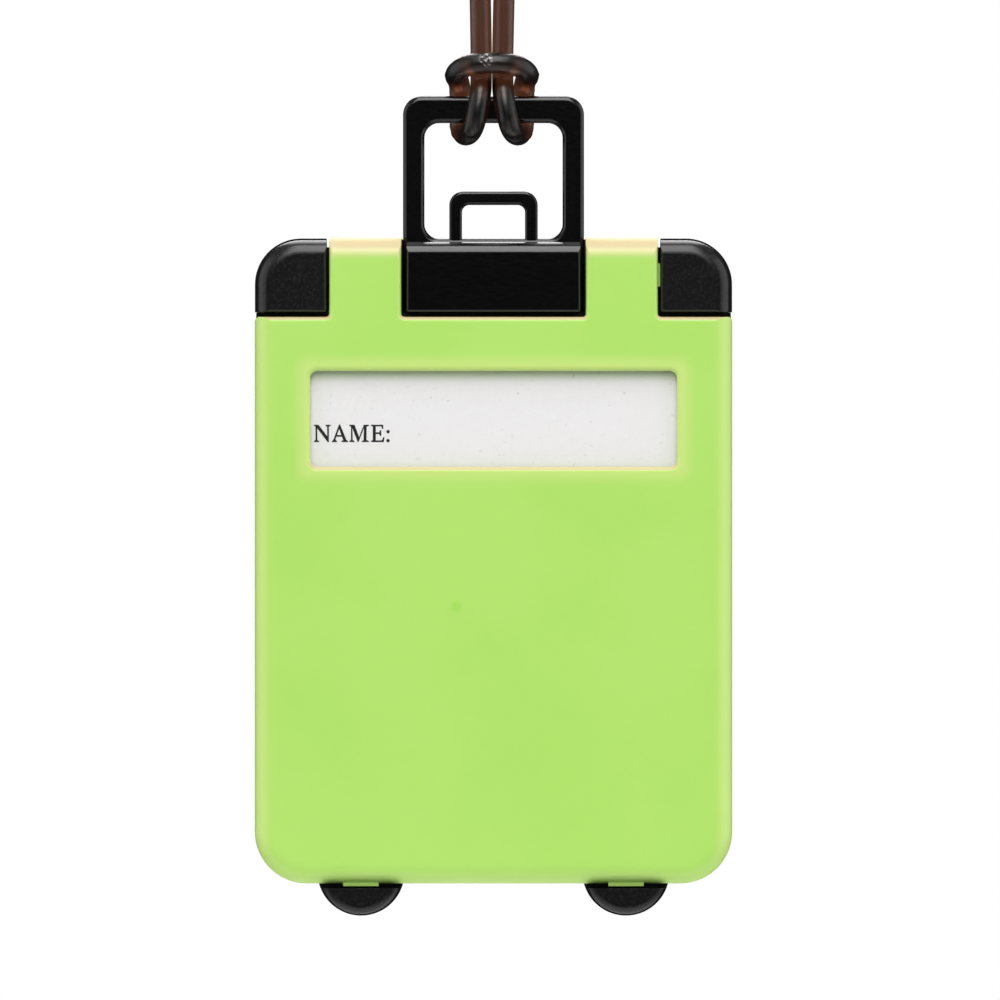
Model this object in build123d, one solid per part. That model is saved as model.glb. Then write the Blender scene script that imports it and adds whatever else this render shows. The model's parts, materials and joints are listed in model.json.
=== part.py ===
from build123d import *
import math
import os

# Luggage tag in the shape of a trolley suitcase, hanging from a moulded strap.
# A black plate in the middle carries the trolley handle, two corner guards and two
# wheels; a front and a back cover clip onto it, with a name card behind a clear pane.
# Millimetres. X runs across the tag, +Y is its back, +Z is up.
# Heights are written from the covers' bottom edge, and every piece is moved at the
# end so that the origin is the point where the strap hangs on its hook.

# ---- covers ----
tag_width = 58.0
tag_depth = 8.0              # over both covers
cover_height = 78.5          # bottom edge to the tops of the two tabs
notch_depth = 9.7            # tops of the tabs to the floors of the three notches
cover_corner_radius = 6.3
cover_roundover = 2.2        # outer edge of a cover's face
notch_roundover = 0.6        # edges of the notches and of the window
notch_corner_radius = 0.4
panel_wall = 1.4
side_wall = 1.2
centre_notch_width = 22.4
corner_notch_width = 9.06
seam_gap = 0.1               # between a cover's rim and the plate

shoulder_height = cover_height - notch_depth
tab_outer = tag_width / 2 - corner_notch_width
half_depth = tag_depth / 2
panel_inside = half_depth - panel_wall

# ---- window, pane and card ----
window_side = 6.75           # cover's side to the window
window_drop = 6.55           # notch floors to the window's upper edge
window_height = 11.65
window_corner_radius = 0.93
pane_margin = 1.5
pane_thickness = 0.45
pane_seat_depth = 0.5
pane_seat_clearance = 0.1
card_overlap = 2.25          # card beyond the window at its sides and top
card_bottom = 12.5
card_thickness = 0.3
card_corner_radius = 1.5
card_play = 0.05             # free space on each face of the card
fence_gap = 0.3              # free space around the card's edges
fence_width = 0.8
fence_height = 0.8
fence_leg = 12.0             # upright legs of the fence, from each corner
fence_opening = 24.0         # open middle of the fence's top and bottom

window_width = tag_width - 2 * window_side
window_top = shoulder_height - window_drop
window_sill = window_top - window_height
card_width = window_width + 2 * card_overlap
card_top = window_top + card_overlap

# ---- plate ----
plate_thickness = 1.6
plate_inset = 0.15           # plate's edge behind the covers' outline
plate_rise = 0.55            # plate's edge above the notch floors
plate_tab_drop = 1.2         # plate's edge under the tabs' tops
plate_ear_width = 0.8        # plate's ears beside the handle's legs
plate_ear_drop = 0.25        # ears under the tabs' tops
press_rib_x = 12.0
press_rib_width = 1.0
press_rib_margin = 4.0

half_plate = plate_thickness / 2
rim = half_plate + seam_gap
plate_top = cover_height - plate_tab_drop

# ---- trolley handle ----
boss_setback = 0.1           # faces of the block, guards and wheels behind the covers'
boss_margin = 0.6            # block and guards above the notch floors
block_side = 0.65            # notch to block
block_top_roundover = 1.4
boss_edge_round = 0.3
ring_side = 0.2              # notch to ring
ring_rise = 17.2             # ring above the tabs' tops
ring_depth = 2.2
ring_leg = 2.6
ring_bar = 3.28
ring_edge_round = 0.6
ring_outer_radius = 2.3
ring_inner_radius = 1.8
top_drop = 0.14              # ring's sill and guards under the tabs' tops
carry_width = 10.75
carry_rise = 5.6             # carry handle above the tabs' tops
carry_bar = 1.64
carry_leg = 1.54
carry_depth = 2.0
carry_outer_radius = 1.7
carry_inner_radius = 0.9
carry_edge_round = 0.35
tongue_side = 1.65           # block's side to the plate's tongue inside it
tongue_drop = 3.5            # tongue under the tabs' tops

boss_half_depth = half_depth - boss_setback
block_width = centre_notch_width - 2 * block_side
block_bottom = shoulder_height + boss_margin
block_top = cover_height - boss_margin
ring_width = centre_notch_width - 2 * ring_side
ring_top = cover_height + ring_rise
ring_sill = cover_height - top_drop
bar_height = ring_top - ring_bar / 2
carry_top = cover_height + carry_rise
tongue_width = block_width - 2 * tongue_side
tongue_top = cover_height - tongue_drop

# ---- corner guards ----
guard_gap = 0.36             # guard to the tab beside it
guard_corner_radius = 5.6
guard_roundover = 1.7
guard_skin = 1.1             # guard outside the plate's corner
parting_step = 0.25          # bosses stand back from the moulding's middle band

guard_inner = tab_outer + guard_gap
guard_bottom = shoulder_height + boss_margin
guard_top = cover_height - top_drop

# ---- wheels ----
wheel_radius = 5.3
wheel_side = 12.9            # cover's side to the middle of a wheel
wheel_centre = 1.35          # axle line above the covers' bottom edge
wheel_top = -0.55            # flat top of the wheel below the covers' bottom edge
wheel_roundover = 0.9
wheel_skin = 1.2

wheel_spacing = tag_width - 2 * wheel_side

# ---- clip hooks and locating pins ----
hook_thickness = 1.0
hook_bury = 0.2              # root inside the cover's panel
hook_split = 0.1             # between a front and a back hook in one window
hook_clearance = 0.25
hook_tip_chamfer = 0.3
foot_hook_pair = 4.5         # front and back hook together, at a wheel
foot_hook_lift = 0.15        # hook above the cover's edge
tab_hook_pair = 2.8          # the same, at a tab
tab_hook_lift = 3.7          # hooks above the notch floors
tab_hook_inset = 0.15        # tab's side to the hook
lip_thickness = 0.5          # grips for a fingernail, in front of the hooks
foot_lip_width = 4.3
foot_lip_drop = 0.3          # lip below the cover's edge
tab_lip_proud = 0.3          # lip beyond the tab's side
pin_side = 2.0               # cover's side to a pin
pin_low = 10.0
pin_drop = 8.8               # notch floors to the upper pins
pin_diameter = 2.0
pin_clearance = 0.1
pin_short = 0.2              # pin's end inside the plate's far face

hook_reach = half_depth / 2
hook_root = panel_inside - hook_bury
foot_hook_width = (foot_hook_pair - hook_split) / 2
tab_hook_height = (tab_hook_pair - hook_split) / 2
tab_hook_bottom = shoulder_height + tab_hook_lift
tab_hook_outer = tab_outer - tab_hook_inset
lip_back = hook_reach + hook_clearance
lip_front = lip_back + lip_thickness
pin_x = tag_width / 2 - pin_side
pin_high = shoulder_height - pin_drop

# ---- strap ----
strap_diameter = 2.5
wrap_clearance = 0.05        # strap to the bar's corners
# Half of the closed loop, measured from the middle of the handle's top bar: from the
# middle of the bight in front, over and down behind the bar, under it, up in front,
# behind the bight and up to the hook. It is drawn for a strap of knot_diameter that
# winds at knot_wrap from the bar's axis, and grows with a thicker strap or bar.
knot_diameter = 2.5
knot_wrap = 3.07
strap_route = [
    (0.0, -3.6, 5.55),
    (2.6, -3.6, 5.55),
    (4.75, -1.6, 4.25),
    (4.1, 3.07, 3.3),
    (4.0, 3.07, -3.07),
    (2.3, -3.07, -3.07),
    (1.38, -3.12, 1.85),
    (1.29, -0.45, 3.5),
    (3.15, 0.0, 86.0),
    (0.0, 0.0, 86.0),
]

bar_corner = math.hypot(ring_bar / 2 - ring_edge_round, ring_depth / 2 - ring_edge_round)
bar_reach = bar_corner + ring_edge_round
wrap_needed = bar_reach + wrap_clearance + strap_diameter / 2
knot_scale = max(strap_diameter / knot_diameter, wrap_needed / knot_wrap)
strap_top = strap_route[-1][2] * knot_scale
hang_height = bar_height + strap_top - strap_diameter / 2

# ---- construction lengths ----
far_out = 20.0               # cutters reach this far past the tag
run_on = 5.0                 # a shape runs on this far before it is trimmed
merge = 1.0                  # joined outlines run this far into each other
weld = 0.1                   # joined solids run this far into each other


def rect(x0, x1, z0, z1):
    """A rectangle in the tag's own plane, from its left, right, bottom and top."""
    return Pos((x0 + x1) / 2, (z0 + z1) / 2) * Rectangle(x1 - x0, z1 - z0)


def rounded(sketch, radius, corners=lambda p: True):
    """The sketch with its chosen corners rounded."""
    chosen = [v for v in sketch.vertices() if corners(v.center())]
    return fillet(chosen, radius)


def prism(sketch, near, far):
    """The sketch as a solid from one distance in front of the middle to another."""
    return extrude(Plane.XZ.offset(near) * sketch, far - near)


def front_edges(solid, chosen=lambda c: True):
    """The edges of the solid's frontmost face that pass the test on their middles."""
    face = solid.faces().sort_by(Axis.Y)[0]
    return [e for e in face.edges() if chosen(e.center())]


def face_edges(solid, depth, foot):
    """The edges of the solid's front and back faces, apart from those at its foot."""
    return [e for e in solid.edges()
            if math.isclose(abs(e.center().Y), depth, abs_tol=0.001) and e.center().Z > foot + weld]


def both_sides(solid):
    """The solid together with its mirror image behind the middle of the tag."""
    return solid + mirror(solid, about=Plane.XZ)


def turned(solid):
    """The solid turned half round about the vertical, from front to back."""
    return Rot(0, 0, 180) * solid


# ---------------------------------------------------------------- covers
def notches(grow):
    """The three notches in a cover's top, grown on every side."""
    top = cover_height + far_out
    side = tag_width / 2 + far_out
    centre = rect(-centre_notch_width / 2 - grow, centre_notch_width / 2 + grow,
                  shoulder_height - grow, top)
    left = rect(-side, -tab_outer + grow, shoulder_height - grow, top)
    right = rect(tab_outer - grow, side, shoulder_height - grow, top)
    return [centre, left, right]


def window(grow):
    """The window's outline, grown on every side."""
    half = window_width / 2 + grow
    return rect(-half, half, window_sill - grow, window_sill + window_height + grow)


def cover_body(with_window):
    """The shell of one cover, as the front one: face, walls, notches and window."""
    half = tag_width / 2
    outline = rect(-half, half, 0, cover_height)
    outline = rounded(outline, cover_corner_radius, lambda p: p.Y < merge)
    block = prism(outline, rim, half_depth)
    block = fillet(front_edges(block), cover_roundover)

    field = rect(-half - far_out, half + far_out, -far_out, cover_height + far_out)
    for notch in notches(0):
        field -= notch
    inner = lambda p: abs(p.X) < half and 0 < p.Y < shoulder_height + merge
    field = rounded(field, notch_corner_radius, inner)
    if with_window:
        field -= rounded(window(0), window_corner_radius)
    openings = prism(field, rim, half_depth)
    side, top = half + far_out - merge, cover_height + far_out - merge
    soft = lambda c: abs(c.X) < side and merge - far_out < c.Z < top
    openings = fillet(front_edges(openings, soft), notch_roundover)

    corner = rect(-half, half, 0, shoulder_height)
    corner = rounded(corner, notch_roundover, lambda p: p.Y > merge)
    tabs = rect(-tab_outer - merge, tab_outer + merge, shoulder_height - run_on, cover_height)
    body = block & openings & prism(corner + tabs, rim, half_depth)

    hollow = rect(-half + side_wall, half - side_wall, side_wall, cover_height - side_wall)
    hollow = rounded(hollow, cover_corner_radius - side_wall, lambda p: p.Y < side_wall + merge)
    for notch in notches(side_wall):
        hollow -= notch
    return body - prism(hollow, rim, panel_inside)


def foot_hook(x):
    """A snap hook at a wheel, with its left edge at x."""
    blade = rect(x, x + foot_hook_width, foot_hook_lift, foot_hook_lift + hook_thickness)
    hook = prism(blade, -hook_reach, hook_root)
    tip = hook.faces().sort_by(Axis.Y)[-1].edges().filter_by(Axis.X)
    return chamfer(tip, hook_tip_chamfer)


def tab_hook(side, z):
    """A snap hook on the outer side of a tab, with its lower edge at z."""
    blade = rect(tab_hook_outer - hook_thickness, tab_hook_outer, z, z + tab_hook_height)
    hook = prism(blade, -hook_reach, hook_root)
    tip = hook.faces().sort_by(Axis.Y)[-1].edges().filter_by(Axis.Z)
    hook = chamfer(tip, hook_tip_chamfer)
    return hook if side > 0 else mirror(hook, about=Plane.YZ)


def foot_lip(wheel_x):
    """A lip under the cover's edge in front of a wheel's hooks."""
    half = foot_lip_width / 2
    return prism(rect(wheel_x - half, wheel_x + half, -foot_lip_drop, side_wall / 2), lip_back, lip_front)


def tab_lip():
    """A lip on the outer side of the right tab, in front of its hooks."""
    outline = rect(tab_outer - side_wall / 2, tab_outer + tab_lip_proud,
                   tab_hook_bottom, tab_hook_bottom + tab_hook_pair)
    return prism(outline, lip_back, lip_front)


def hook_relief():
    """Room in a cover's walls for the other cover's hooks, as the front cover has it."""
    gap = hook_clearance
    reach = hook_reach + gap
    low = foot_hook_lift - gap
    high = foot_hook_lift + hook_thickness + gap
    room = []
    for wheel_x in (-wheel_spacing / 2, wheel_spacing / 2):
        x = wheel_x + hook_split / 2
        room.append(prism(rect(x, x + foot_hook_width + gap, low, high), 0, reach))
    inner_x, outer_x = tab_hook_outer - hook_thickness - gap, tab_hook_outer + gap
    upper = tab_hook_bottom + tab_hook_height + hook_split
    left = rect(-outer_x, -inner_x, upper, upper + tab_hook_height + gap)
    right = rect(inner_x, outer_x, tab_hook_bottom - gap, tab_hook_bottom + tab_hook_height)
    return room + [prism(left, 0, reach), prism(right, 0, reach)]


def card_fence():
    """The low wall around the card, open in the middle of each side."""
    inside = card_width / 2 + fence_gap
    outside = inside + fence_width
    low = card_bottom - fence_gap
    high = card_top + fence_gap
    fence = rect(-outside, outside, low - fence_width, high + fence_width)
    fence -= rect(-inside, inside, low, high)
    fence -= rect(-outside, outside, low + fence_leg, high - fence_leg)
    fence -= rect(-fence_opening / 2, fence_opening / 2, 0, cover_height)
    return prism(fence, panel_inside - fence_height, panel_inside + weld)


def cover(with_window):
    """One cover with hooks, lips and pins, as the front one; the window brings the fence."""
    body = cover_body(with_window)
    for room in hook_relief():
        body -= room
    for wheel_x in (-wheel_spacing / 2, wheel_spacing / 2):
        body += foot_hook(wheel_x - foot_hook_pair / 2)
        body += foot_lip(wheel_x)
    body += tab_hook(-1, tab_hook_bottom)
    body += tab_hook(1, tab_hook_bottom + tab_hook_height + hook_split)
    body += tab_lip()
    for x, z in ((-pin_x, pin_low), (pin_x, pin_high)):
        pin = Pos(x, z) * Circle(pin_diameter / 2)
        body += prism(pin, pin_short - half_plate, panel_inside + hook_bury)
    if not with_window:
        return body
    seat = window(pane_margin + pane_seat_clearance)
    body -= prism(seat, panel_inside, panel_inside + pane_seat_depth)
    return body + card_fence()


def window_pane():
    pane_back = panel_inside + pane_seat_depth - pane_thickness
    return prism(window(pane_margin), pane_back, pane_back + pane_thickness)


def name_card():
    half = card_width / 2
    card_front = panel_inside - card_play
    outline = rounded(rect(-half, half, card_bottom, card_top), card_corner_radius)
    return prism(outline, card_front - card_thickness, card_front)


# ---------------------------------------------------------------- black mouldings
def plate_tongue():
    """The outline of the plate's tongue, which the handle's block grips."""
    half = tongue_width / 2
    return rect(-half, half, shoulder_height - merge, tongue_top)


def core_plate():
    """The plate between the covers, with its windows for the hooks."""
    half = tag_width / 2 - plate_inset
    plate = rect(-half, half, plate_inset, shoulder_height + plate_rise)
    plate = rounded(plate, cover_corner_radius - plate_inset, lambda p: p.Y < merge)
    at_corner = lambda p: p.Y > plate_top - merge and abs(p.X) > tab_outer
    notch = ring_width / 2
    guard_outer = tag_width / 2 - guard_skin
    for side in (-1, 1):
        inner_x, outer_x = sorted((side * notch, side * guard_outer))
        shoulder = rect(inner_x, outer_x, shoulder_height - merge, plate_top)
        plate += rounded(shoulder, guard_corner_radius - guard_skin, at_corner)
        inner_x, outer_x = sorted((side * notch, side * (notch + plate_ear_width)))
        plate += rect(inner_x, outer_x, shoulder_height, cover_height - plate_ear_drop)
        centre = side * wheel_spacing / 2
        left, right = centre - far_out, centre + far_out
        lobe = Pos(centre, wheel_centre) * Circle(wheel_radius)
        plate += lobe & rect(left, right, wheel_top, plate_inset + merge)
        lug = Pos(centre, wheel_centre) * Circle(wheel_radius - wheel_skin)
        plate += lug & rect(left, right, -wheel_radius, plate_inset + merge)
    plate += plate_tongue()

    gap = hook_clearance
    for side in (-1, 1):
        centre = side * wheel_spacing / 2
        reach = foot_hook_pair / 2 + gap
        plate -= rect(centre - reach, centre + reach, foot_hook_lift - hook_split,
                      foot_hook_lift + hook_thickness + gap)
        inner_x, outer_x = sorted((side * (tab_hook_outer - hook_thickness - gap),
                                   side * (tab_hook_outer + hook_split)))
        low, high = tab_hook_bottom - gap, tab_hook_bottom + tab_hook_pair + gap
        plate -= rect(inner_x, outer_x, low, high)
        for z in (pin_low, pin_high):
            plate -= Pos(side * pin_x, z) * Circle(pin_diameter / 2 + pin_clearance)
    solid = prism(plate, -half_plate, half_plate)

    rib_top = panel_inside - 2 * card_play - card_thickness
    for side in (-1, 1):
        x = side * press_rib_x
        rib = rect(x - press_rib_width / 2, x + press_rib_width / 2,
                   card_bottom + press_rib_margin, card_top - press_rib_margin)
        solid += prism(rib, half_plate, rib_top)
    return solid


def trolley_handle():
    """The ring, the carry handle inside it and the block that grips the plate."""
    half = ring_width / 2
    ring_foot = shoulder_height + plate_rise
    ring = rounded(rect(-half, half, ring_foot, ring_top), ring_outer_radius,
                   lambda p: p.Y > ring_top - merge)
    opening = rounded(rect(-half + ring_leg, half - ring_leg, ring_sill, ring_top - ring_bar),
                      ring_inner_radius)
    ring = prism(ring - opening, -ring_depth / 2, ring_depth / 2)
    ring = fillet(face_edges(ring, ring_depth / 2, ring_foot), ring_edge_round)

    carry_foot = ring_sill - merge
    carry = rounded(rect(-carry_width / 2, carry_width / 2, carry_foot, carry_top),
                    carry_outer_radius, lambda p: p.Y > ring_sill)
    hole = rounded(rect(-carry_width / 2 + carry_leg, carry_width / 2 - carry_leg,
                        carry_foot - merge, carry_top - carry_bar),
                   carry_inner_radius, lambda p: p.Y > ring_sill)
    carry = prism(carry - hole, -carry_depth / 2, carry_depth / 2)
    carry = fillet(face_edges(carry, carry_depth / 2, carry_foot), carry_edge_round)

    half = block_width / 2
    face = rect(-half - run_on, half + run_on, block_bottom - run_on, block_top)
    crown = prism(face, 0, boss_half_depth)
    crown = fillet(front_edges(crown, lambda c: c.Z > block_top - merge), block_top_roundover)
    face = rounded(rect(-half, half, block_bottom, block_top + run_on), boss_edge_round,
                   lambda p: p.Y < block_bottom + merge)
    cheeks = prism(face, 0, boss_half_depth)
    cheeks = fillet(front_edges(cheeks, lambda c: c.Z < block_top + run_on - merge),
                    boss_edge_round)
    block = both_sides(crown & cheeks)
    return ring + carry + block - prism(plate_tongue(), -half_plate, half_plate)


def corner_guard():
    """The right guard: two bosses on a middle band, with a slot for the plate's corner."""
    outer = tag_width / 2 - parting_step
    top = guard_top - parting_step
    radius = guard_corner_radius - parting_step
    at_corner = lambda p: p.X > guard_inner + merge and p.Y > guard_bottom + merge
    face = rect(guard_inner - run_on, outer, guard_bottom - run_on, top)
    face = rounded(face, radius, at_corner)
    shell = prism(face, 0, boss_half_depth)
    trimmed = run_on - merge
    outside = lambda c: c.X > guard_inner - trimmed and c.Z > guard_bottom - trimmed
    shell = fillet(front_edges(shell, outside), guard_roundover)
    face = rounded(rect(guard_inner, outer + run_on, guard_bottom, top + run_on), boss_edge_round,
                   lambda p: p.X < guard_inner + merge and p.Y < guard_bottom + merge)
    cheeks = prism(face, 0, boss_half_depth)
    inside = lambda c: c.X < outer + trimmed and c.Z < top + trimmed
    cheeks = fillet(front_edges(cheeks, inside), boss_edge_round)
    guard = both_sides(shell & cheeks)

    band = rounded(rect(guard_inner, tag_width / 2, guard_bottom, guard_top),
                   guard_corner_radius, at_corner)
    guard += prism(band, -half_plate, half_plate)
    slot = rect(guard_inner - merge, tag_width / 2 - guard_skin, guard_bottom - merge, plate_top)
    slot = rounded(slot, guard_corner_radius - guard_skin, at_corner)
    return guard - prism(slot, -half_plate, half_plate)


def wheel():
    """The right wheel: the lower part of a disc, with a slot for the plate's lug."""
    centre = Pos(wheel_spacing / 2, wheel_centre)
    below = rect(0, wheel_spacing, wheel_centre - far_out, wheel_top)
    boss = prism(centre * Circle(wheel_radius - parting_step), 0, boss_half_depth)
    boss = fillet(front_edges(boss), wheel_roundover)
    boss = both_sides(boss)
    band = prism(centre * Circle(wheel_radius), -half_plate, half_plate)
    lug = prism(centre * Circle(wheel_radius - wheel_skin), -half_plate, half_plate)
    return (boss + band - lug) & prism(below, -half_depth, half_depth)


# ---------------------------------------------------------------- strap
def strap_loop():
    """The closed strap: one half swept along its runs and arcs, and its mirror image."""
    points = [Vector(*p) * knot_scale for p in strap_route]
    runs = [b - a for a, b in zip(points, points[1:])]
    lengths = [run.length for run in runs]
    lengths[0] *= 2          # the first and last runs go on into the mirror image
    lengths[-1] *= 2
    radii = []
    for i, (before, after) in enumerate(zip(runs, runs[1:])):
        half_turn = math.radians(before.get_angle(after) / 2)
        radii.append(0.45 * min(lengths[i], lengths[i + 1]) / math.tan(half_turn))
    path = FilletPolyline(*points, radius=radii)
    print("strap arc radii:", [round(r, 2) for r in radii])
    print("strap length, closed:", round(2 * path.length, 1))
    section = Plane(origin=path @ 0, z_dir=path % 0) * Circle(strap_diameter / 2)
    half = sweep(section, path=path)
    print("half strap volume:", round(half.volume, 2),
          "section x length:", round(math.pi * strap_diameter ** 2 / 4 * path.length, 2))
    return Pos(0, 0, bar_height) * (half + mirror(half, about=Plane.YZ))


# ---------------------------------------------------------------- assembly
guard = corner_guard()
foot = wheel()
pieces = {
    "core_plate": core_plate(),
    "trolley_handle": trolley_handle(),
    "corner_guard_left": mirror(guard, about=Plane.YZ),
    "corner_guard_right": guard,
    "wheel_left": mirror(foot, about=Plane.YZ),
    "wheel_right": foot,
    "front_cover": cover(True),
    "back_cover": turned(cover(False)),
    "window_pane": window_pane(),
    "name_card": name_card(),
    "strap_loop": strap_loop(),
}

os.makedirs("parts", exist_ok=True)
for name, solid in pieces.items():
    placed = Pos(0, 0, -hang_height) * solid
    placed.label = name
    export_step(placed, "parts/" + name + ".step")
print("hang point above the covers' bottom edge:", round(hang_height, 2))
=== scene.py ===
# %% [markdown]
# # A luggage tag in the shape of a trolley suitcase
# The tag hangs from its strap: two lime-green ABS covers over a black frame, with a
# trolley handle, corner guards, wheels, and a name card behind a clear pane.
# The CAD frame already has the right shapes, so this lesson gives each moulding its
# finish, winds the strap, prints the card and lights the set.

# %% Load the frame
import json
import math

import bmesh
import bpy
from mathutils import Matrix, Vector, kdtree, noise


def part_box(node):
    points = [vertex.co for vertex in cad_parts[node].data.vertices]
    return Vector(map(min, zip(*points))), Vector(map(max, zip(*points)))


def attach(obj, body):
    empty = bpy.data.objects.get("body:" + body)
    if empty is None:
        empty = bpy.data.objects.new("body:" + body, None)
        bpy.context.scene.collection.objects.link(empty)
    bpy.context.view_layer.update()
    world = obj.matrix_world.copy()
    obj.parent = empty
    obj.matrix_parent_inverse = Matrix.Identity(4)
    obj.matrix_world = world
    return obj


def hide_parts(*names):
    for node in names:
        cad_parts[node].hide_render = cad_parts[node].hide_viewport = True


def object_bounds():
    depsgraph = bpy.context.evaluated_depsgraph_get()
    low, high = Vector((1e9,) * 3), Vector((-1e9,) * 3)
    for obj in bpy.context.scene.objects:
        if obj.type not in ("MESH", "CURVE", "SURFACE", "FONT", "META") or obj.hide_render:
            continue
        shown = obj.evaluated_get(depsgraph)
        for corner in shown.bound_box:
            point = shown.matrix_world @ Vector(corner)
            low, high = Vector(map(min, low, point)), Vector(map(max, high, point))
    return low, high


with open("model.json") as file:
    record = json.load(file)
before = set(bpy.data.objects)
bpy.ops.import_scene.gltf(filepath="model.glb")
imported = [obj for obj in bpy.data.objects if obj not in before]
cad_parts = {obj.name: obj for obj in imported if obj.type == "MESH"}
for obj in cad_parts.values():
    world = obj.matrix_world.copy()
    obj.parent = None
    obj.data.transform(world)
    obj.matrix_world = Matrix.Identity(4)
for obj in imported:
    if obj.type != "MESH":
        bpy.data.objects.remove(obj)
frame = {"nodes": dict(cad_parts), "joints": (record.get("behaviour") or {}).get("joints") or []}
cad_low, cad_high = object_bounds()
print("CAD box, mm:", [round(1000 * (b - a), 1) for a, b in zip(cad_low, cad_high)])


# %% [markdown]
# The real object is small, so every size below is written in millimetres and turned
# into Blender's metres by one function. Places come from the frame: the bar that the
# strap is tied to is the swing joint's own axis.

# %% Units and landmarks
def mm(value):
    """Millimetres as metres."""
    return value / 1000


def joint(name):
    """One joint of the frame."""
    return next(j for j in frame["joints"] if j["name"] == name)


bar = Vector(joint("strap_swing")["pos_m"])
pane_low, pane_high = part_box("window_pane")
card_low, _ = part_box("name_card")
cover_low, cover_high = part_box("front_cover")
_, handle_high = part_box("trolley_handle")
wheel_low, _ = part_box("wheel_left")
pane_margin = mm(1.5)        # the cover overlaps the pane by this much on each side
print("bar axis, mm:", [round(1000 * c, 2) for c in bar])

# %% [markdown]
# The camera stands square in front of the tag with a long lens, which keeps the sides
# of the tag parallel as a product picture does. The view is a little taller than the
# tag, which hangs slightly left of its middle, and the strap leaves through its top edge.

# %% Camera
view_width = mm(121.3)
camera_distance = 1.5        # metres, in front of the covers
camera_aside, camera_above = mm(0.79), mm(0.7)
tag_middle = (handle_high.z + wheel_low.z) / 2

camera_data = bpy.data.cameras.new("camera")
camera_data.sensor_width = 36
camera_data.lens = camera_data.sensor_width * camera_distance / view_width
camera_data.clip_start = 0.01
camera_data.clip_end = 20
camera = bpy.data.objects.new("camera", camera_data)
bpy.context.scene.collection.objects.link(camera)
camera.location = (camera_aside, cover_low.y - camera_distance, tag_middle + camera_above)
camera.rotation_euler = (math.radians(90), 0, 0)
bpy.context.scene.camera = camera
print("lens, mm:", round(camera_data.lens, 1))

# %% [markdown]
# ## The strap
# The strap is one soft ring, moulded in a closed loop and tied to the bar with a girth
# hitch: the bight lies in front of the two strands, its legs go over and down behind
# the bar, come up in front of it and rise behind the bight. A NURBS spline of order 3
# bends evenly through such a knot, where straight runs would look like bent wire.
# The route is written in millimetres from the bar, for one half, and mirrored. It
# starts and ends in the middle of the bight. A knot is never quite central, so this one
# sits slightly to the left, and the shift fades out to the far end of the strap.

# %% The strap's route
strap_diameter = mm(2.6)
half_route = [
    (0.0, -3.6, 5.55),
    (2.6, -3.6, 5.55),
    (4.75, -1.6, 4.25),
    (3.75, 3.08, 3.3),
    (3.95, 3.08, -3.08),
    (2.3, -3.08, -3.08),
    (1.34, -3.15, 1.85),
    (1.31, -0.5, 3.55),
    (1.31, -0.45, 9.0),
    (2.81, -0.08, 71.0),
    (3.15, 0.0, 86.0),
]
other_half = [(-x, y, z) for x, y, z in reversed(half_route)]
knot_slip = -0.2             # millimetres, as the route
route_top = half_route[-1][2]
route = [bar + Vector((x + knot_slip * (1 - max(0, z) / route_top), y, z)) * mm(1)
         for x, y, z in half_route + other_half]


def nurbs(name, points):
    """A smooth open curve with the points as its control points."""
    curve = bpy.data.curves.new(name, "CURVE")
    curve.dimensions = "3D"
    spline = curve.splines.new("NURBS")
    spline.points.add(len(points) - 1)
    for place, point in zip(spline.points, points):
        place.co = (*point, 1)
    spline.order_u = 3
    spline.use_endpoint_u = True
    curve.resolution_u = 12
    made = bpy.data.objects.new(name, curve)
    bpy.context.scene.collection.objects.link(made)
    return made


def mesh_of(curve_object):
    """What a curve object shows, as a mesh."""
    bpy.context.view_layer.update()
    graph = bpy.context.evaluated_depsgraph_get()
    return bpy.data.meshes.new_from_object(curve_object.evaluated_get(graph))


centreline = nurbs("strap_centreline", route)
line_mesh = mesh_of(centreline)
strap_path = [v.co.copy() for v in line_mesh.vertices]
strap_length = sum((b - a).length for a, b in zip(strap_path, strap_path[1:]))
print("strap length, mm:", round(1000 * strap_length, 1))

# %% [markdown]
# The mould's two halves meet along the strap and leave a fine, ragged ridge on it,
# which catches the light like a string of beads. So the strap's section isn't a plain
# circle: it has a small peak on each side, and a noise lifts the points of the peaks.
# The tilt sets where round the strap the ridge runs.
# The section is swept along the route, and the two ends of the sweep, which meet in the
# bight, are welded into a ring.

# %% The strap as a swept ring
section_steps = 40
ridge_height = mm(0.04)
ridge_tilt = math.radians(-30)
bead_height = mm(0.14)
bead_length = mm(0.45)
weld_distance = mm(0.02)

section = bpy.data.curves.new("strap_section", "CURVE")
section.dimensions = "2D"
outline = section.splines.new("POLY")
outline.points.add(section_steps - 1)
for step, place in enumerate(outline.points):
    angle = 2 * math.pi * step / section_steps
    radius = strap_diameter / 2 + (ridge_height if step % (section_steps // 2) == 0 else 0)
    place.co = (radius * math.cos(angle), radius * math.sin(angle), 0, 1)
outline.use_cyclic_u = True
section_object = bpy.data.objects.new("strap_section", section)
bpy.context.scene.collection.objects.link(section_object)

centreline.data.bevel_mode = "OBJECT"
centreline.data.bevel_object = section_object
for place in centreline.data.splines[0].points:
    place.tilt = ridge_tilt
strap_mesh = mesh_of(centreline)
strap_mesh.name = "strap"
ring = bmesh.new()
ring.from_mesh(strap_mesh)
sections = kdtree.KDTree(len(strap_path))
for index, centre in enumerate(strap_path):
    sections.insert(centre, index)
sections.balance()
for vert in ring.verts:
    centre, index, away = sections.find(vert.co)
    if away > strap_diameter / 2 + ridge_height / 2:
        lift = bead_height * max(0, noise.noise(vert.co / bead_length))
        vert.co = centre + (vert.co - centre) * (1 + lift / away)
bmesh.ops.remove_doubles(ring, verts=ring.verts, dist=weld_distance)
bmesh.ops.recalc_face_normals(ring, faces=ring.faces)
open_edges = sum(1 for e in ring.edges if len(e.link_faces) != 2)
for face in ring.faces:
    face.smooth = True
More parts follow.
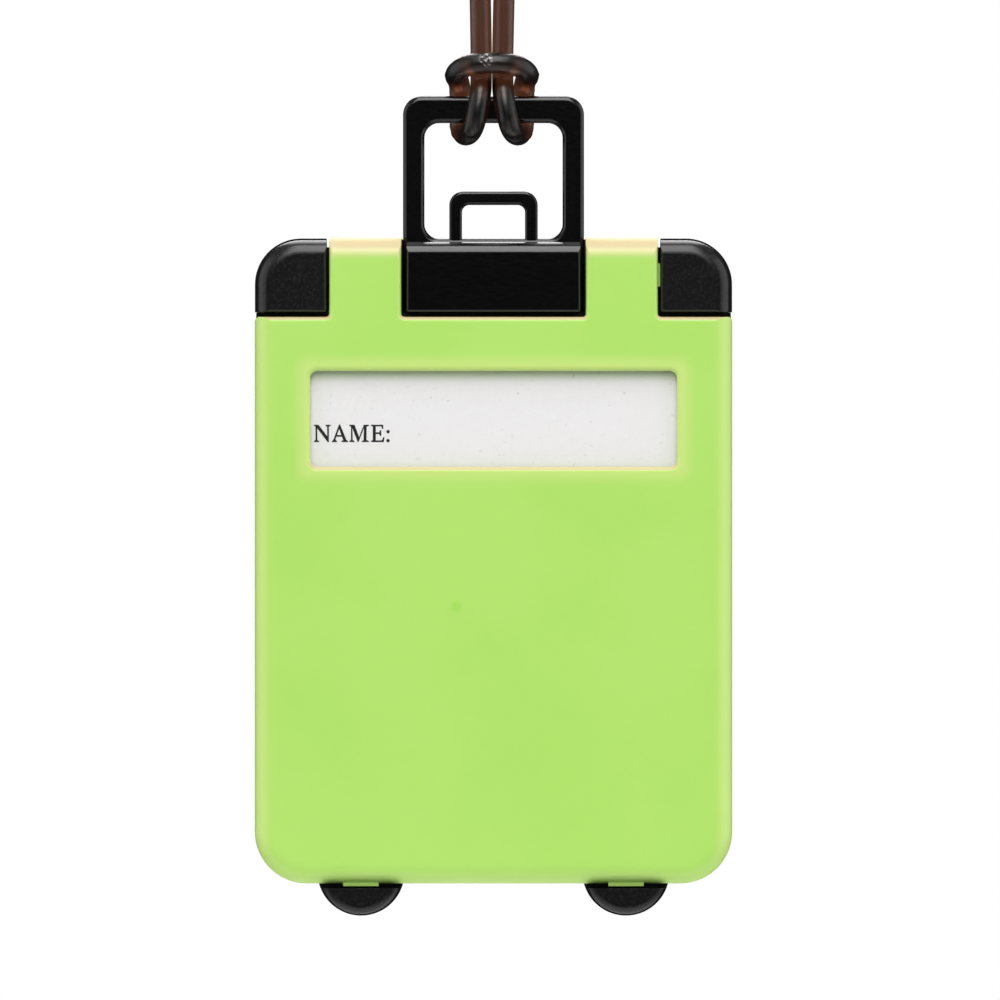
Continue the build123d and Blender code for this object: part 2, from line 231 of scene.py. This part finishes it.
ring.to_mesh(strap_mesh)
ring.free()
strap = bpy.data.objects.new("strap", strap_mesh)
bpy.context.scene.collection.objects.link(strap)
bpy.data.objects.remove(centreline)
bpy.data.objects.remove(section_object)
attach(strap, "strap")
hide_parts("strap_loop")
print("strap faces:", len(strap_mesh.polygons), "open edges:", open_edges)

# %% [markdown]
# The plastic entered the mould in the middle of the bight. The sprue is twisted off
# there and leaves a torn stub, a small lump with broken facets. It also covers the
# weld of the sweep's two ends. An icosphere has even facets for a noise to break up.

# %% Gate mark
stub_half = (mm(0.95), mm(0.5), mm(0.8))     # half its width, depth and height
raggedness = 0.22
lumps_per_radius = 2.6

torn = bmesh.new()
bmesh.ops.create_icosphere(torn, subdivisions=3, radius=1)
for vert in torn.verts:
    vert.co *= 1 + raggedness * noise.noise(vert.co * lumps_per_radius)
bmesh.ops.scale(torn, vec=stub_half, verts=torn.verts)
gate_place = bar + Vector((-0.85, -4.55, 5.85)) * mm(1)
bmesh.ops.translate(torn, vec=gate_place, verts=torn.verts)
gate_mesh = bpy.data.meshes.new("gate_mark")
torn.to_mesh(gate_mesh)
torn.free()
gate_mark = bpy.data.objects.new("gate_mark", gate_mesh)
bpy.context.scene.collection.objects.link(gate_mark)
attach(gate_mark, "strap")
print("gate mark faces:", len(gate_mesh.polygons))

# %% [markdown]
# ## Materials
# Each finish starts from the real one. A colour is given as an sRGB hex value, as a
# paint chart gives it, and one function turns it to the linear values that shaders
# need. A second small function adds a node, sets it and links it.

# %% Colour and node helpers
def colour(hexed, alpha=1.0):
    """An sRGB hex colour as linear red, green, blue and alpha."""
    levels = [int(hexed[i:i + 2], 16) / 255 for i in (0, 2, 4)]
    linear = [v / 12.92 if v <= 0.04045 else ((v + 0.055) / 1.055) ** 2.4 for v in levels]
    return (*linear, alpha)


def add(tree, kind, inputs=None, **settings):
    """A node of that kind; inputs may be values or other nodes' output sockets."""
    made = tree.nodes.new("ShaderNode" + kind)
    for name, value in settings.items():
        setattr(made, name, value)
    for name, value in (inputs or {}).items():
        if isinstance(value, bpy.types.NodeSocket):
            tree.links.new(value, made.inputs[name])
        else:
            made.inputs[name].default_value = value
    return made


def finish(name):
    """A new material with an empty tree: the material, its tree and its output."""
    material = bpy.data.materials.new(name)
    material.use_nodes = True
    material.node_tree.nodes.clear()
    tree = material.node_tree
    print("material:", name)
    return material, tree, add(tree, "OutputMaterial")


def wear(piece, material):
    """Gives the whole piece one material."""
    piece.data.materials.clear()
    piece.data.materials.append(material)


# %% [markdown]
# ### Masks
# A finish changes from place to place: towards an edge, a window or a mark. A mask is a
# value from 0 to 1 that says how much of the change a point gets. These helpers make one
# from a value or a distance, join two of them, and mix two colours by one.

# %% Mask helpers
def smooth_step(tree, value, start, end):
    """0 up to start and 1 from end on, or the other way round if end is lower."""
    low, high = sorted((start, end))
    rising = start < end
    return add(tree, "MapRange", {"Value": value, "From Min": low, "From Max": high,
                                  "To Min": 0.0 if rising else 1.0, "To Max": 1.0 if rising else 0.0},
               interpolation_type="SMOOTHSTEP").outputs["Result"]


def combine(tree, operation, first, second):
    """Two values joined by one operation of a Math node."""
    return add(tree, "Math", {0: first, 1: second}, operation=operation).outputs["Value"]


def outside_box(tree, place, centre, half):
    """How far a place lies outside a flat rectangle, seen along Y."""
    local = add(tree, "VectorMath", {0: place, 1: centre}, operation="SUBTRACT")
    size = add(tree, "VectorMath", {0: local.outputs["Vector"]}, operation="ABSOLUTE")
    past = add(tree, "VectorMath", {0: size.outputs["Vector"], 1: half}, operation="SUBTRACT")
    kept = add(tree, "VectorMath", {0: past.outputs["Vector"], 1: (0, 0, 0)}, operation="MAXIMUM")
    flat = add(tree, "VectorMath", {0: kept.outputs["Vector"], 1: (1, 0, 1)}, operation="MULTIPLY")
    return add(tree, "VectorMath", {0: flat.outputs["Vector"]}, operation="LENGTH").outputs["Value"]


def mixed(tree, amount, first, second):
    """Two colours mixed by an amount."""
    return add(tree, "MixRGB", {"Fac": amount, "Color1": first, "Color2": second}).outputs["Color"]


# %% [markdown]
# ### Lime ABS, injection moulded, satin
# ABS is opaque with a slight depth. Part of its light is painted into its colour: a painted
# glow makes the flat face lighter in the last two or three millimetres before the outline,
# and in front before the window, where light comes out again through the thin edges;
# painted highlights make all rounded edges yellower, nearly cream where they face up to
# the light and along the tops of the tabs. The masks for this come from the surface's own
# direction, from its height, and from the distance to the window and to the outline. The
# front is where Y is negative.
#
# The mould was finely spark-finished, so the gloss is broad. Low waves, nearly a
# centimetre long, come from the plastic shrinking as it cools, and a small round sink
# mark lies opposite the inlet of the mould; its slight darkening is painted shade in its dip.

# %% Lime ABS
sink_mark = Vector((mm(-4.5), cover_low.y, pane_low.z - mm(15.5)))


def lime_colour_and_painted_light(tree, place):
    """The covers' colour, with a painted glow near the edges and painted highlights on the rounded
    edges and tab tops.
    """
    tone = add(tree, "TexNoise", {"Vector": place, "Scale": 1 / mm(16), "Detail": 2.0})
    body_tone = mixed(tree, smooth_step(tree, tone.outputs["Fac"], 0.35, 0.65),
                      colour("B4E769"), colour("B8E96E"))

    normal = add(tree, "SeparateXYZ", {"Vector": add(tree, "TexCoord").outputs["Normal"]})
    tilt = combine(tree, "ABSOLUTE", normal.outputs["Y"], 0.0)
    rounded = combine(tree, "MULTIPLY", smooth_step(tree, tilt, 0.995, 0.86),
                      smooth_step(tree, tilt, 0.0, 0.25))
    window_centre = (pane_low + pane_high) / 2
    window_half = (pane_high - pane_low) / 2 - Vector((pane_margin, 0, pane_margin))
    axes = add(tree, "SeparateXYZ", {"Vector": place})
    in_front = smooth_step(tree, axes.outputs["Y"], mm(0.5), mm(-0.5))
    past_window = outside_box(tree, place, window_centre, window_half)
    by_window = combine(tree, "MULTIPLY", in_front,
                        smooth_step(tree, past_window, mm(2.6), mm(0.3)))
    outline_centre = (cover_low + cover_high) / 2 - Vector((0, 0, mm(0.8)))
    outline_half = (cover_high - cover_low) / 2 - Vector((mm(3), 0, mm(2.2)))
    past_outline = outside_box(tree, place, outline_centre, outline_half)
    by_outline = smooth_step(tree, past_outline, mm(0.3), mm(3.0))
    # painted glow: the flat face is painted yellower, colour D0EB84, near the outline and before the
    # window, for light that comes out through the thin edges
    painted_glow_mask = combine(tree, "MAXIMUM", by_window, by_outline)
    painted_glow = mixed(tree, combine(tree, "MULTIPLY", painted_glow_mask, 0.9), body_tone, colour("D0EB84"))
    # painted highlight: the rounded edges are painted paler, colour CBEE84, as the side lamps light
    # them
    painted_edge_light = mixed(tree, combine(tree, "MULTIPLY", rounded, 0.5), painted_glow, colour("CBEE84"))
    # painted highlight: a cream band, colour EEE4AC, along the tops of the tabs where the top lamp
    # lights them
    top_highlight_band = smooth_step(tree, axes.outputs["Z"], cover_high.z - mm(2.9), cover_high.z - mm(1.4))
    painted_top_highlight = mixed(tree, combine(tree, "MULTIPLY", top_highlight_band, 0.85), painted_edge_light, colour("EEE4AC"))
    # painted highlight: rounded edges that face up to the light are painted cream, colour D3C08F
    upfacing_highlight = combine(tree, "MULTIPLY", rounded, smooth_step(tree, normal.outputs["Z"], 0.05, 0.45))
    return mixed(tree, combine(tree, "MULTIPLY", upfacing_highlight, 0.95), painted_top_highlight, colour("D3C08F"))


def lime_abs():
    """Satin lime with a sink mark and its painted shade, low waves and a fine grain."""
    material, tree, out = finish("lime_abs_satin_moulded")
    place = add(tree, "TexCoord").outputs["Object"]
    away = add(tree, "VectorMath", {0: place, 1: sink_mark}, operation="DISTANCE")
    sink = smooth_step(tree, away.outputs["Value"], mm(1.0), mm(0.2))
    # painted shade: the sink mark's dip is painted a darker green, colour A9E35C, beside the real dip
    # that the bump below makes
    sink_shaded = mixed(tree, sink, lime_colour_and_painted_light(tree, place), colour("A9E35C"))

    waves = add(tree, "TexNoise", {"Vector": place, "Scale": 1 / mm(9), "Detail": 1.0})
    grain = add(tree, "TexNoise", {"Vector": place, "Scale": 1 / mm(0.3), "Detail": 3.0})
    low = add(tree, "Bump", {"Height": waves.outputs["Fac"], "Strength": 0.12, "Distance": mm(0.15)})
    dip = add(tree, "Bump", {"Height": sink, "Strength": 0.25, "Distance": mm(0.05),
                             "Normal": low.outputs["Normal"]}, invert=True)
    fine = add(tree, "Bump", {"Height": grain.outputs["Fac"], "Strength": 0.12,
                              "Distance": mm(0.02), "Normal": dip.outputs["Normal"]})
    body = add(tree, "BsdfPrincipled", {
        "Base Color": sink_shaded, "Roughness": 0.45, "IOR": 1.53,
        "Subsurface Weight": 0.12, "Subsurface Radius": (1.0, 0.9, 0.25),
        "Subsurface Scale": mm(1.2), "Normal": fine.outputs["Normal"]})
    tree.links.new(body.outputs["BSDF"], out.inputs["Surface"])
    return material


lime = lime_abs()


# %% [markdown]
# ### Black ABS, polished mould
# The handle and its block came out of a polished mould: nearly black, with clear but
# soft reflections, a few hairline scratches and slight waves. The scratches are a noise
# squeezed twelve times along one axis, and change only the roughness.

# %% Black ABS, smooth
def black_smooth():
    """Polished black with fine scratches in its gloss."""
    material, tree, out = finish("black_abs_polished_mould")
    place = add(tree, "TexCoord").outputs["Object"]
    waves = add(tree, "TexNoise", {"Vector": place, "Scale": 1 / mm(5), "Detail": 2.0})
    stretched = add(tree, "Mapping", {"Vector": place, "Rotation": (0, 0.5, 0), "Scale": (1, 1, 12)})
    hairs = add(tree, "TexNoise", {"Vector": stretched.outputs["Vector"], "Scale": 1 / mm(1.2),
                                   "Detail": 4.0})
    rough = add(tree, "MapRange", {"Value": hairs.outputs["Fac"], "From Min": 0.35, "From Max": 0.7,
                                   "To Min": 0.17, "To Max": 0.24})
    low = add(tree, "Bump", {"Height": waves.outputs["Fac"], "Strength": 0.15, "Distance": mm(0.1)})
    body = add(tree, "BsdfPrincipled", {
        "Base Color": colour("030304"), "Roughness": rough.outputs["Result"], "IOR": 1.53,
        "Normal": low.outputs["Normal"]})
    tree.links.new(body.outputs["BSDF"], out.inputs["Surface"])
    return material


smooth_black = black_smooth()


# %% [markdown]
# ### Black ABS, grained mould
# The guards, the wheels and the frame between the covers have a spark-eroded grain,
# about 0.3 mm from peak to peak. It scatters the highlight into a dull grey band and
# shows as a fine speckle, so one noise drives both the tone and the bumps.

# %% Black ABS, grained
def black_grained():
    """Grained black with a fine grey speckle."""
    material, tree, out = finish("black_abs_grained_mould")
    place = add(tree, "TexCoord").outputs["Object"]
    grain = add(tree, "TexNoise", {"Vector": place, "Scale": 1 / mm(0.32), "Detail": 2.0})
    speck = add(tree, "ValToRGB", {"Fac": grain.outputs["Fac"]})
    speck.color_ramp.elements[0].position = 0.48
    speck.color_ramp.elements[0].color = colour("020203")
    speck.color_ramp.elements[1].position = 0.7
    speck.color_ramp.elements[1].color = colour("1C1A1E")
    bump = add(tree, "Bump", {"Height": grain.outputs["Fac"], "Strength": 0.2, "Distance": mm(0.03)})
    body = add(tree, "BsdfPrincipled", {
        "Base Color": speck.outputs["Color"], "Roughness": 0.3, "IOR": 1.5,
        "Normal": bump.outputs["Normal"]})
    tree.links.new(body.outputs["BSDF"], out.inputs["Surface"])
    return material


grained_black = black_grained()


# %% [markdown]
# ### Clear polystyrene pane
# The pane is thin and flat, so it hardly bends light. A nearly see-through surface that
# keeps a little gloss shows it, and lets the light through to the card, which a
# refracting material would keep in the shade. A few specks of dust lie on it.

# %% Clear pane
def clear_pane():
    """A see-through sheet whose gloss grows towards a grazing view, with dust."""
    material, tree, out = finish("clear_polystyrene_sheet")
    place = add(tree, "TexCoord").outputs["Object"]
    dust = add(tree, "TexNoise", {"Vector": place, "Scale": 1 / mm(0.5), "Detail": 3.0})
    speck = add(tree, "MapRange", {"Value": dust.outputs["Fac"], "From Min": 0.68, "From Max": 0.76,
                                   "To Min": 0.0, "To Max": 0.12})
    through = add(tree, "BsdfTransparent", {"Color": colour("FFFFFF")})
    shine = add(tree, "BsdfGlossy", {"Color": colour("FFFFFF"), "Roughness": 0.12})
    powder = add(tree, "BsdfDiffuse", {"Color": colour("C8C8C4")})
    facing = add(tree, "LayerWeight", {"Blend": 0.5}).outputs["Facing"]
    grazing = combine(tree, "POWER", facing, 5.0)
    mirror = add(tree, "MapRange", {"Value": grazing, "To Min": 0.03, "To Max": 0.9})
    sheet = add(tree, "MixShader", {"Fac": mirror.outputs["Result"]})
    tree.links.new(through.outputs["BSDF"], sheet.inputs[1])
    tree.links.new(shine.outputs["BSDF"], sheet.inputs[2])
    dusted = add(tree, "MixShader", {"Fac": speck.outputs["Result"]})
    tree.links.new(sheet.outputs["Shader"], dusted.inputs[1])
    tree.links.new(powder.outputs["BSDF"], dusted.inputs[2])
    tree.links.new(dusted.outputs["Shader"], out.inputs["Surface"])
    return material


clear_sheet = clear_pane()


# %% [markdown]
# ### White coated card and black ink
# Coated card is matt with a faint sheen, and its fibres show as very slight mottling.
# Along the window's upper edge the card is painted a pale lime: painted shade from the
# cover's edge and painted light bounced off the lime. The ink is a matt black that
# covers a little unevenly.

# %% Card and ink
def coated_card():
    """White card with slight mottling and a painted lime tint of shade and bounced light under the
    window's top.
    """
    material, tree, out = finish("white_coated_card")
    place = add(tree, "TexCoord").outputs["Object"]
    fibre = add(tree, "TexNoise", {"Vector": place, "Scale": 1 / mm(0.6), "Detail": 5.0})
    mottle = add(tree, "ValToRGB", {"Fac": fibre.outputs["Fac"]})
    mottle.color_ramp.elements[0].color = colour("F8F6F6")
    mottle.color_ramp.elements[1].color = colour("FEFDFE")
    height = add(tree, "SeparateXYZ", {"Vector": place}).outputs["Z"]
    window_top = pane_high.z - pane_margin
    # painted shade and bounce light: a pale lime, colour D6E6BE, in the last 1.6 mm below the window's
    # upper edge
    painted_bounce_band = smooth_step(tree, height, window_top - mm(1.6), window_top)
    bounce_painted = mixed(tree, combine(tree, "MULTIPLY", painted_bounce_band, 0.8),
                   mottle.outputs["Color"], colour("D6E6BE"))
    bump = add(tree, "Bump", {"Height": fibre.outputs["Fac"], "Strength": 0.1, "Distance": mm(0.02)})
    body = add(tree, "BsdfPrincipled", {
        "Base Color": bounce_painted, "Roughness": 0.6, "Normal": bump.outputs["Normal"]})
    tree.links.new(body.outputs["BSDF"], out.inputs["Surface"])
    return material


def printing_ink():
    """Matt black ink of uneven depth."""
    material, tree, out = finish("black_printing_ink")
    place = add(tree, "TexCoord").outputs["Object"]
    patch = add(tree, "TexNoise", {"Vector": place, "Scale": 1 / mm(0.2), "Detail": 3.0})
    tone = add(tree, "ValToRGB", {"Fac": patch.outputs["Fac"]})
    tone.color_ramp.elements[0].color = colour("040405")
    tone.color_ramp.elements[1].color = colour("0E0D10")
    body = add(tree, "BsdfPrincipled", {"Base Color": tone.outputs["Color"], "Roughness": 0.5})
    tree.links.new(body.outputs["BSDF"], out.inputs["Surface"])
    return material


card_stock = coated_card()
ink = printing_ink()


# %% [markdown]
# ### Smoke-brown TPU, moulded
# The strap is a soft clear plastic with a smoke-brown dye: light goes through it and
# comes out brown, and where it lies over the black bar it looks black. So the surface
# is clear and glossy, and the colour is in the volume. Absorption is strong: the full
# 2.6 mm pass about seven hundredths of the red light, and two of the green.

# %% Smoke TPU
def smoke_tpu():
    """Clear soft plastic with a brown dye all through it."""
    material, tree, out = finish("smoke_brown_tpu_moulded")
    place = add(tree, "TexCoord").outputs["Object"]
    waves = add(tree, "TexNoise", {"Vector": place, "Scale": 1 / mm(1.5), "Detail": 2.0})
    bump = add(tree, "Bump", {"Height": waves.outputs["Fac"], "Strength": 0.06, "Distance": mm(0.06)})
    body = add(tree, "BsdfPrincipled", {
        "Base Color": colour("F6F1EC"), "Roughness": 0.32, "IOR": 1.5,
        "Transmission Weight": 1.0, "Normal": bump.outputs["Normal"]})
    dye = add(tree, "VolumeAbsorption", {"Color": colour("B9916A"), "Density": 2000.0})
    tree.links.new(body.outputs["BSDF"], out.inputs["Surface"])
    tree.links.new(dye.outputs["Volume"], out.inputs["Volume"])
    return material


smoke = smoke_tpu()


# %% [markdown]
# ### Torn TPU
# Where the sprue broke off, the same plastic is whitened and rough, with small glints; the whitened
# crumbs are partly painted glints.

# %% Torn TPU
def torn_tpu():
    """Rough plastic, whitened in crumbs, partly as painted glints."""
    material, tree, out = finish("torn_tpu_stub")
    place = add(tree, "TexCoord").outputs["Object"]
    crumbs = add(tree, "TexNoise", {"Vector": place, "Scale": 1 / mm(0.3), "Detail": 4.0})
    # partly stress-whitened plastic and partly painted glints: crumbs of colour CFC9C6 over the dark
    # torn plastic
    white = smooth_step(tree, crumbs.outputs["Fac"], 0.52, 0.62)
    tone = mixed(tree, white, colour("2A2324"), colour("CFC9C6"))
    bump = add(tree, "Bump", {"Height": crumbs.outputs["Fac"], "Strength": 0.8, "Distance": mm(0.12)})
    body = add(tree, "BsdfPrincipled", {
        "Base Color": tone, "Roughness": 0.22, "IOR": 1.5, "Normal": bump.outputs["Normal"]})
    tree.links.new(body.outputs["BSDF"], out.inputs["Surface"])
    return material


torn_stub = torn_tpu()

# %% [markdown]
# ### Each piece gets its finish
# Pieces that came out of one kind of mould share one material, so a change to it shows
# on all of them.

# %% Finishes on their pieces
for node, material in {
        "front_cover": lime, "back_cover": lime, "trolley_handle": smooth_black,
        "core_plate": grained_black, "corner_guard_left": grained_black,
        "corner_guard_right": grained_black, "wheel_left": grained_black,
        "wheel_right": grained_black, "window_pane": clear_sheet,
        "name_card": card_stock}.items():
    wear(frame["nodes"][node], material)
wear(strap, smoke)
wear(gate_mark, torn_stub)
print("materials:", len(bpy.data.materials))

# %% [markdown]
# ## The printed word
# The card carries one generic word in a serif type with capitals 2 mm high. Blender's
# own font has no serifs, so each letter is one outline, filled by a bmesh operator and
# given the thickness of ink. The outlines, the letters' widths and the spread of the ink
# past them are in thousandths of the type's height, as in a typeface.

# %% Letters
letters = {
    "N": (710, [[(12, 662), (12, 643), (76, 610), (76, 60), (12, 19), (12, 0), (196, 0), (196, 19),
                 (120, 50), (120, 560), (560, -8), (580, -8), (580, 610), (655, 643), (655, 662),
                 (470, 662), (470, 643), (538, 612), (538, 190), (172, 662)]]),
    "A": (697, [[(15, 0), (15, 19), (69, 60), (300, 674), (320, 674), (567, 70), (635, 19), (635, 0),
                 (399, 0), (399, 19), (472, 60), (413, 215), (173, 215), (128, 70), (191, 19),
                 (191, 0)],
                [(187, 255), (399, 255), (293, 535)]]),
    "M": (864, [[(12, 662), (12, 643), (81, 610), (81, 60), (12, 19), (12, 0), (197, 0), (197, 19),
                 (121, 55), (121, 560), (344, 0), (361, 0), (584, 570), (584, 55), (513, 19), (513, 0),
                 (766, 0), (766, 19), (673, 60), (673, 605), (768, 643), (768, 662), (588, 662),
                 (392, 160), (197, 662)]]),
    "E": (540, [[(12, 662), (12, 643), (87, 605), (87, 60), (12, 19), (12, 0), (495, 0), (521, 170),
                 (499, 170), (442, 38), (176, 38), (176, 320), (342, 320), (373, 240), (394, 240),
                 (394, 445), (373, 445), (342, 360), (176, 360), (176, 624), (421, 624), (455, 520),
                 (477, 520), (473, 662)]]),
}
colon_width = 278
dot_radius = 68
dot_heights = (45, 400)
ink_spread = 14
type_size = mm(3.05)
ink_thickness = mm(0.015)


def spread(corners, amount):
    """An outline with its corners moved outwards, or inwards if the amount is negative."""
    points = [Vector(corner) for corner in corners]
    around = list(zip(points[-1:] + points[:-1], points, points[1:] + points[:1]))
    turn = sum(before.x * at.y - at.x * before.y for before, at, _ in around)
    moved = []
    for before, at, after in around:
        first, second = (at - before).normalized(), (after - at).normalized()
        outward = Vector((first.y + second.y, -first.x - second.x)).normalized()
        share = max(0.5, outward.dot(Vector((first.y, -first.x))))   # keeps sharp corners short
        moved.append(at + outward * math.copysign(amount / share, turn * amount))
    return moved


def filled(shape, outlines, at):
    """Fills one letter's outlines into the mesh, with its left edge at that place."""
    edges = []
    for index, corners in enumerate(outlines):
        inked = spread(corners, -ink_spread if index else ink_spread)
        points = [shape.verts.new((at + x, 0, z)) for x, z in inked]
        edges += [shape.edges.new(pair) for pair in zip(points, points[1:] + points[:1])]
    bmesh.ops.triangle_fill(shape, edges=edges, use_beauty=True, use_dissolve=False,
                            normal=(0, -1, 0))


shape = bmesh.new()
pen = 0
for letter in "NAME":
    advance, outlines = letters[letter]
    filled(shape, outlines, pen)
    pen += advance
for dot_height in dot_heights:
    spot = Matrix.Translation((pen + colon_width / 2, 0, dot_height))
    bmesh.ops.create_circle(shape, cap_ends=True, segments=16, radius=dot_radius,
                            matrix=spot @ Matrix.Rotation(math.radians(90), 4, "X"))
bmesh.ops.scale(shape, vec=(type_size / 1000, 1, type_size / 1000), verts=shape.verts)
bmesh.ops.recalc_face_normals(shape, faces=shape.faces)
pulled = bmesh.ops.extrude_face_region(shape, geom=shape.faces[:])
raised = [v for v in pulled["geom"] if isinstance(v, bmesh.types.BMVert)]
bmesh.ops.translate(shape, verts=raised, vec=(0, -ink_thickness, 0))
bmesh.ops.recalc_face_normals(shape, faces=shape.faces)
left_gap, below_gap = mm(0.45), mm(3.05)     # from the window's left and lower edges
text_left = pane_low.x + pane_margin + left_gap
baseline = pane_low.z + pane_margin + below_gap
bmesh.ops.translate(shape, verts=shape.verts, vec=(text_left, card_low.y, baseline))
word_mesh = bpy.data.meshes.new("printed_word")
shape.to_mesh(word_mesh)
shape.free()
word = bpy.data.objects.new("printed_word", word_mesh)
bpy.context.scene.collection.objects.link(word)
wear(word, ink)
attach(word, "name_card")
print("printed word, mm wide:", round(pen * type_size, 2))

# %% [markdown]
# ## Set and light
# A product picture of this kind is taken in a white tent with a dark lens opening: the
# light is soft from everywhere except from the camera's own direction, so flat black
# faces stay black while their rounded edges turn grey. The world does the same, dark
# towards the front and the back of the tag and bright around it. Rays that come from
# the camera or through the clear strap see plain white.

# %% World
world = bpy.data.worlds.new("white_tent")
bpy.context.scene.world = world
world.use_nodes = True
sky = world.node_tree
sky.nodes.clear()
direction = add(sky, "SeparateXYZ", {"Vector": add(sky, "TexCoord").outputs["Generated"]})
facing = add(sky, "Math", {0: direction.outputs["Y"]}, operation="ABSOLUTE")
tent = add(sky, "MapRange", {"Value": facing.outputs["Value"], "From Min": 0.25, "From Max": 0.75,
                             "To Min": 0.3, "To Max": 0.02}, interpolation_type="SMOOTHSTEP")
ray = add(sky, "LightPath")
seen = add(sky, "Math", {0: ray.outputs["Is Camera Ray"], 1: ray.outputs["Is Transmission Ray"]},
           operation="MAXIMUM")
strength = add(sky, "MixRGB", {"Fac": seen.outputs["Value"], "Color1": tent.outputs["Result"],
                               "Color2": (1, 1, 1, 1)})
light = add(sky, "Background", {"Color": strength.outputs["Color"], "Strength": 1.0})
sky_out = add(sky, "OutputWorld")
sky.links.new(light.outputs["Background"], sky_out.inputs["Surface"])
bpy.context.scene.view_settings.view_transform = "Standard"
print("world nodes:", len(sky.nodes))


# %% [markdown]
# Large lamps make soft highlights on the small rounded edges. The strongest stands high
# in front and a weaker one high behind, one on each side lights the tag's sides, and a
# weak one low in front lifts the undersides.

# %% Lamps
def softbox(name, place, target, width, height, power):
    """A lamp of that width and height at that place, turned to the target."""
    data = bpy.data.lights.new(name, "AREA")
    data.shape = "RECTANGLE"
    data.size = width
    data.size_y = height
    data.energy = power
    made = bpy.data.objects.new(name, data)
    bpy.context.scene.collection.objects.link(made)
    made.location = place
    made.rotation_euler = (Vector(target) - Vector(place)).to_track_quat("-Z", "Y").to_euler()
    return made


middle = Vector((0, 0, tag_middle))
softbox("front_light", middle + Vector((0, -0.58, 0.69)), middle, 0.5, 1.0, 8.2)
softbox("back_light", middle + Vector((0, 0.58, 0.69)), middle, 0.5, 1.0, 6.0)
softbox("left_light", middle + Vector((-0.7, -0.2, 0.1)), middle, 1.0, 1.0, 2.6)
softbox("right_light", middle + Vector((0.7, -0.2, 0.1)), middle, 1.0, 1.0, 3.0)
softbox("low_fill", middle + Vector((0, -0.6, -0.5)), middle, 0.6, 0.6, 0.9)
print("lamps, watts:", round(sum(lamp.energy for lamp in bpy.data.lights), 1))

# %% [markdown]
# The tag hangs well above a white floor, which throws a little light back up. The floor
# fades out towards its rim, so that it never ends in a line.

# %% Floor
floor_radius = mm(300)
fade_start, fade_end = mm(60), mm(190)
floor_centre = Vector((0, 0, cad_low.z - mm(80)))
floor_shape = bmesh.new()
bmesh.ops.create_circle(floor_shape, cap_ends=True, segments=64, radius=floor_radius)
bmesh.ops.translate(floor_shape, verts=floor_shape.verts, vec=floor_centre)
floor_mesh = bpy.data.meshes.new("floor")
floor_shape.to_mesh(floor_mesh)
floor_shape.free()
floor = bpy.data.objects.new("floor", floor_mesh)
bpy.context.scene.collection.objects.link(floor)
paint, paint_tree, paint_out = finish("white_floor_paint")
painted = add(paint_tree, "TexCoord").outputs["Object"]
from_middle = add(paint_tree, "VectorMath", {0: painted, 1: floor_centre}, operation="DISTANCE")
fade = smooth_step(paint_tree, from_middle.outputs["Value"], fade_start, fade_end)
matt = add(paint_tree, "BsdfPrincipled", {"Base Color": colour("F5F5F5"), "Roughness": 0.8})
gone = add(paint_tree, "BsdfTransparent")
blend = add(paint_tree, "MixShader", {"Fac": fade})
paint_tree.links.new(matt.outputs["BSDF"], blend.inputs[1])
paint_tree.links.new(gone.outputs["BSDF"], blend.inputs[2])
paint_tree.links.new(blend.outputs["Shader"], paint_out.inputs["Surface"])
wear(floor, paint)
print("floor, mm below the wheels:", round(1000 * (cad_low.z - floor_centre.z)))
